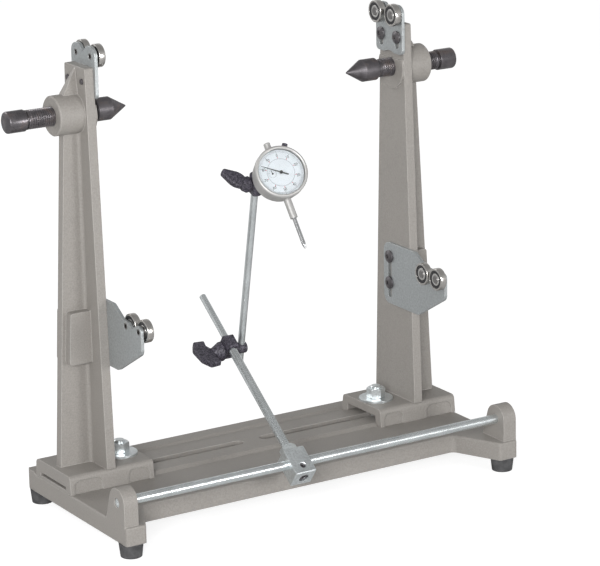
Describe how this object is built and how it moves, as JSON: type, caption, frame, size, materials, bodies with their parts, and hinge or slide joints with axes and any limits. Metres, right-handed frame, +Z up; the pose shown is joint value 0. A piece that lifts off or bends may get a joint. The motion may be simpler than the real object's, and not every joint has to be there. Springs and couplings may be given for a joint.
{
  "type": "bicycle wheel truing stand",
  "caption": "Bench truing stand: a slotted cast base with two sliding uprights, cone spindles, roller brackets and a dial gauge on a jointed arm that traverses a front rod",
  "frame": {"origin": "on the bench, under the middle of the whole box of the part at rest", "axes": "+X along the base to the right of the operator, +Y away from the operator to the back of the base, +Z up"},
  "size_m": [0.5404, 0.226, 0.496],
  "materials": {
    "cast_paint": "warm grey stoving paint over a sand casting",
    "rubber": "matt black rubber",
    "zinc_plate": "bright zinc plate",
    "zinc_sheet": "satin zinc plated sheet",
    "black_oxide": "black oxide steel",
    "bearing_steel": "ground bearing steel with black shields",
    "pin_steel": "dark pin, bright inner ring",
    "moulded_black": "glass-filled black plastic",
    "satin_silver": "satin silver paint",
    "clear_glass": "clear",
    "face_white": "white enamelled plate",
    "hand_black": "black enamel",
    "ground_steel": "polished ground steel"
  },
  "bodies": {
    "base": {"base_casting": "cast_paint", "front_left_foot_pad": "rubber", "front_right_foot_pad": "rubber", "back_left_foot_pad": "rubber", "back_right_foot_pad": "rubber", "foot_pad_screws": "zinc_plate"},
    "left_upright": {"left_upright": "cast_paint", "left_clamp_bolt": "zinc_plate", "left_clamp_nut": "zinc_plate", "left_clamp_washer": "zinc_plate", "left_top_bracket_screws": "black_oxide", "left_low_bracket_screws": "black_oxide"},
    "left_spindle_cone": {"left_spindle_cone": "black_oxide"},
    "left_spindle_screw": {"left_spindle_screw": "black_oxide"},
    "left_top_bracket": {"left_top_bracket": "zinc_sheet", "left_top_roller_pins": "pin_steel"},
    "left_top_front_roller": {"left_top_front_roller": "bearing_steel"},
    "left_top_back_roller": {"left_top_back_roller": "bearing_steel"},
    "left_low_bracket": {"left_low_bracket": "zinc_sheet", "left_low_roller_pins": "pin_steel"},
    "left_low_front_roller": {"left_low_front_roller": "bearing_steel"},
    "left_low_back_roller": {"left_low_back_roller": "bearing_steel"},
    "right_upright": {"right_upright": "cast_paint", "right_clamp_bolt": "zinc_plate", "right_clamp_nut": "zinc_plate", "right_clamp_washer": "zinc_plate", "right_top_bracket_screws": "black_oxide", "right_low_bracket_screws": "black_oxide"},
    "right_spindle_cone": {"right_spindle_cone": "black_oxide"},
    "right_spindle_screw": {"right_spindle_screw": "black_oxide"},
    "right_top_bracket": {"right_top_bracket": "zinc_sheet", "right_top_roller_pins": "pin_steel"},
    "right_top_front_roller": {"right_top_front_roller": "bearing_steel"},
    "right_top_back_roller": {"right_top_back_roller": "bearing_steel"},
    "right_low_bracket": {"right_low_bracket": "zinc_sheet", "right_low_roller_pins": "pin_steel"},
    "right_low_front_roller": {"right_low_front_roller": "bearing_steel"},
    "right_low_back_roller": {"right_low_back_roller": "bearing_steel"},
    "front_rod": {"front_rod": "zinc_plate"},
    "clamp_block": {"clamp_block": "zinc_plate", "clamp_block_screws": "black_oxide", "jam_nut": "zinc_plate"},
    "arm_rod": {"arm_rod": "zinc_plate"},
    "swivel_body": {"swivel_body": "moulded_black"},
    "swivel_eye": {"swivel_eye": "moulded_black"},
    "swivel_wing_knob": {"swivel_wing_knob": "moulded_black"},
    "upper_rod": {"upper_rod": "zinc_plate"},
    "head_clamp": {"head_clamp": "moulded_black"},
    "head_clamp_lever": {"head_clamp_lever": "moulded_black"},
    "dial": {"dial_case": "satin_silver", "dial_face_centre": "face_white", "plunger_cap": "satin_silver"},
    "bezel": {"dial_bezel": "satin_silver", "dial_glass": "clear_glass", "dial_face_ring": "face_white"},
    "bezel_clamp_knob": {"bezel_clamp_knob": "moulded_black"},
    "plunger": {"plunger": "ground_steel", "contact_tip": "ground_steel"},
    "dial_hand": {"dial_hand": "hand_black"},
    "dial_counter_hand": {"dial_counter_hand": "hand_black"}
  },
  "joints": [
    {"name": "left_upright_slide", "type": "slide", "parent": "base", "child": "left_upright", "axis": [1, 0, 0], "range_m": [-0.0025, 0.1]},
    {"name": "left_spindle_feed", "type": "slide", "parent": "left_upright", "child": "left_spindle_cone", "axis": [1, 0, 0], "range_m": [-0.0075, 0.031]},
    {"name": "left_spindle_turn", "type": "hinge", "parent": "left_spindle_cone", "child": "left_spindle_screw", "pos_m": [-0.1805, 0.04705, 0.425], "axis": [1, 0, 0], "range_deg": [-1082, 4466]},
    {"name": "left_top_bracket_height", "type": "slide", "parent": "left_upright", "child": "left_top_bracket", "axis": [0, 0, 1], "range_m": [-0.003, 0.009]},
    {"name": "left_top_front_roller_spin", "type": "hinge", "parent": "left_top_bracket", "child": "left_top_front_roller", "pos_m": [-0.17195, 0.03205, 0.484], "axis": [1, 0, 0], "continuous": true},
    {"name": "left_top_back_roller_spin", "type": "hinge", "parent": "left_top_bracket", "child": "left_top_back_roller", "pos_m": [-0.17195, 0.06205, 0.484], "axis": [1, 0, 0], "continuous": true},
    {"name": "left_low_bracket_height", "type": "slide", "parent": "left_upright", "child": "left_low_bracket", "axis": [0, 0, 1], "range_m": [-0.007, 0.0091]},
    {"name": "left_low_front_roller_spin", "type": "hinge", "parent": "left_low_bracket", "child": "left_low_front_roller", "pos_m": [-0.17195, -0.05015, 0.2152], "axis": [1, 0, 0], "continuous": true},
    {"name": "left_low_back_roller_spin", "type": "hinge", "parent": "left_low_bracket", "child": "left_low_back_roller", "pos_m": [-0.17195, -0.02375, 0.2152], "axis": [1, 0, 0], "continuous": true},
    {"name": "right_upright_slide", "type": "slide", "parent": "base", "child": "right_upright", "axis": [-1, 0, 0], "range_m": [-0.0025, 0.1]},
    {"name": "right_spindle_feed", "type": "slide", "parent": "right_upright", "child": "right_spindle_cone", "axis": [-1, 0, 0], "range_m": [-0.02, 0.0185]},
    {"name": "right_spindle_turn", "type": "hinge", "parent": "right_spindle_cone", "child": "right_spindle_screw", "pos_m": [0.1929, 0.04705, 0.425], "axis": [-1, 0, 0], "range_deg": [-2882, 2666]},
    {"name": "right_top_bracket_height", "type": "slide", "parent": "right_upright", "child": "right_top_bracket", "axis": [0, 0, 1], "range_m": [-0.003, 0.009]},
    {"name": "right_top_front_roller_spin", "type": "hinge", "parent": "right_top_bracket", "child": "right_top_front_roller", "pos_m": [0.18435, 0.03205, 0.484], "axis": [1, 0, 0], "continuous": true},
    {"name": "right_top_back_roller_spin", "type": "hinge", "parent": "right_top_bracket", "child": "right_top_back_roller", "pos_m": [0.18435, 0.06205, 0.484], "axis": [1, 0, 0], "continuous": true},
    {"name": "right_low_bracket_height", "type": "slide", "parent": "right_upright", "child": "right_low_bracket", "axis": [0, 0, 1], "range_m": [-0.0025, 0.0136]},
    {"name": "right_low_front_roller_spin", "type": "hinge", "parent": "right_low_bracket", "child": "right_low_front_roller", "pos_m": [0.18435, -0.05015, 0.2107], "axis": [1, 0, 0], "continuous": true},
    {"name": "right_low_back_roller_spin", "type": "hinge", "parent": "right_low_bracket", "child": "right_low_back_roller", "pos_m": [0.18435, -0.02375, 0.2107], "axis": [1, 0, 0], "continuous": true},
    {"name": "gauge_tilt", "type": "hinge", "parent": "base", "child": "front_rod", "pos_m": [0.0062, -0.09145, 0.0565], "axis": [1, 0, 0], "range_deg": [-20, 60]},
    {"name": "gauge_traverse", "type": "slide", "parent": "front_rod", "child": "clamp_block", "axis": [1, 0, 0], "range_m": [-0.09, 0.12]},
    {"name": "arm_turn", "type": "hinge", "parent": "clamp_block", "child": "arm_rod", "pos_m": [-0.0233, -0.09145, 0.0565], "axis": [0, 0.8039, 0.5948], "range_deg": [-30, 30]},
    {"name": "swivel_slide", "type": "slide", "parent": "arm_rod", "child": "swivel_body", "axis": [0, 0.8039, 0.5948], "range_m": [0, 0.055]},
    {"name": "upper_rod_tilt", "type": "hinge", "parent": "swivel_body", "child": "swivel_eye", "pos_m": [-0.0233, 0.04508, 0.14434], "axis": [1, 0, 0], "range_deg": [-30, 45]},
    {"name": "swivel_wing_turn", "type": "hinge", "parent": "swivel_eye", "child": "swivel_wing_knob", "pos_m": [-0.0233, 0.04508, 0.14434], "axis": [-1, 0, 0], "range_deg": [-180, 180]},
    {"name": "upper_rod_slide", "type": "slide", "parent": "swivel_eye", "child": "upper_rod", "axis": [0, -0.1994, 0.9799], "range_m": [-0.065, 0.005]},
    {"name": "head_turn", "type": "hinge", "parent": "upper_rod", "child": "head_clamp", "pos_m": [-0.0053, 0.00647, 0.3341], "axis": [0, -0.1994, 0.9799], "range_deg": [-60, 60]},
    {"name": "head_lever_turn", "type": "hinge", "parent": "head_clamp", "child": "head_clamp_lever", "pos_m": [-0.0053, 0.00647, 0.3341], "axis": [-0.9703, 0.1692, -0.1727], "range_deg": [-60, 110]},
    {"name": "dial_tilt", "type": "hinge", "parent": "head_clamp", "child": "dial", "pos_m": [-0.0053, 0.00647, 0.3341], "axis": [0.9703, -0.1692, 0.1727], "range_deg": [-20, 45]},
    {"name": "bezel_turn", "type": "hinge", "parent": "dial", "child": "bezel", "pos_m": [0.01077, -0.0094, 0.33917], "axis": [-0.2343, -0.8337, 0.5], "continuous": true},
    {"name": "bezel_clamp_turn", "type": "hinge", "parent": "dial", "child": "bezel_clamp_knob", "pos_m": [0.00924, -0.01482, 0.34242], "axis": [0.4639, 0.3561, 0.8112], "range_deg": [-180, 180]},
    {"name": "plunger_travel", "type": "slide", "parent": "dial", "child": "plunger", "axis": [-0.0593, 0.5256, 0.8486], "range_m": [0, 0.0254], "stiffness_N_per_m": 20, "springref_m": -0.045},
    {"name": "hand_turn", "type": "hinge", "parent": "dial", "child": "dial_hand", "pos_m": [0.01077, -0.0094, 0.33917], "axis": [-0.2343, -0.8337, 0.5], "range_deg": [-3602, 2]},
    {"name": "counter_turn", "type": "hinge", "parent": "dial", "child": "dial_counter_hand", "pos_m": [0.00189, -0.00744, 0.33827], "axis": [-0.2343, -0.8337, 0.5], "range_deg": [-2, 362]}
  ],
  "couplings": [
    {"joint": "left_spindle_turn", "follows": "left_spindle_feed", "rad_per_m": 2513.3},
    {"joint": "right_spindle_turn", "follows": "right_spindle_feed", "rad_per_m": 2513.3},
    {"joint": "hand_turn", "follows": "plunger_travel", "rad_per_m": -2473.7},
    {"joint": "counter_turn", "follows": "plunger_travel", "rad_per_m": 247.37}
  ]
}
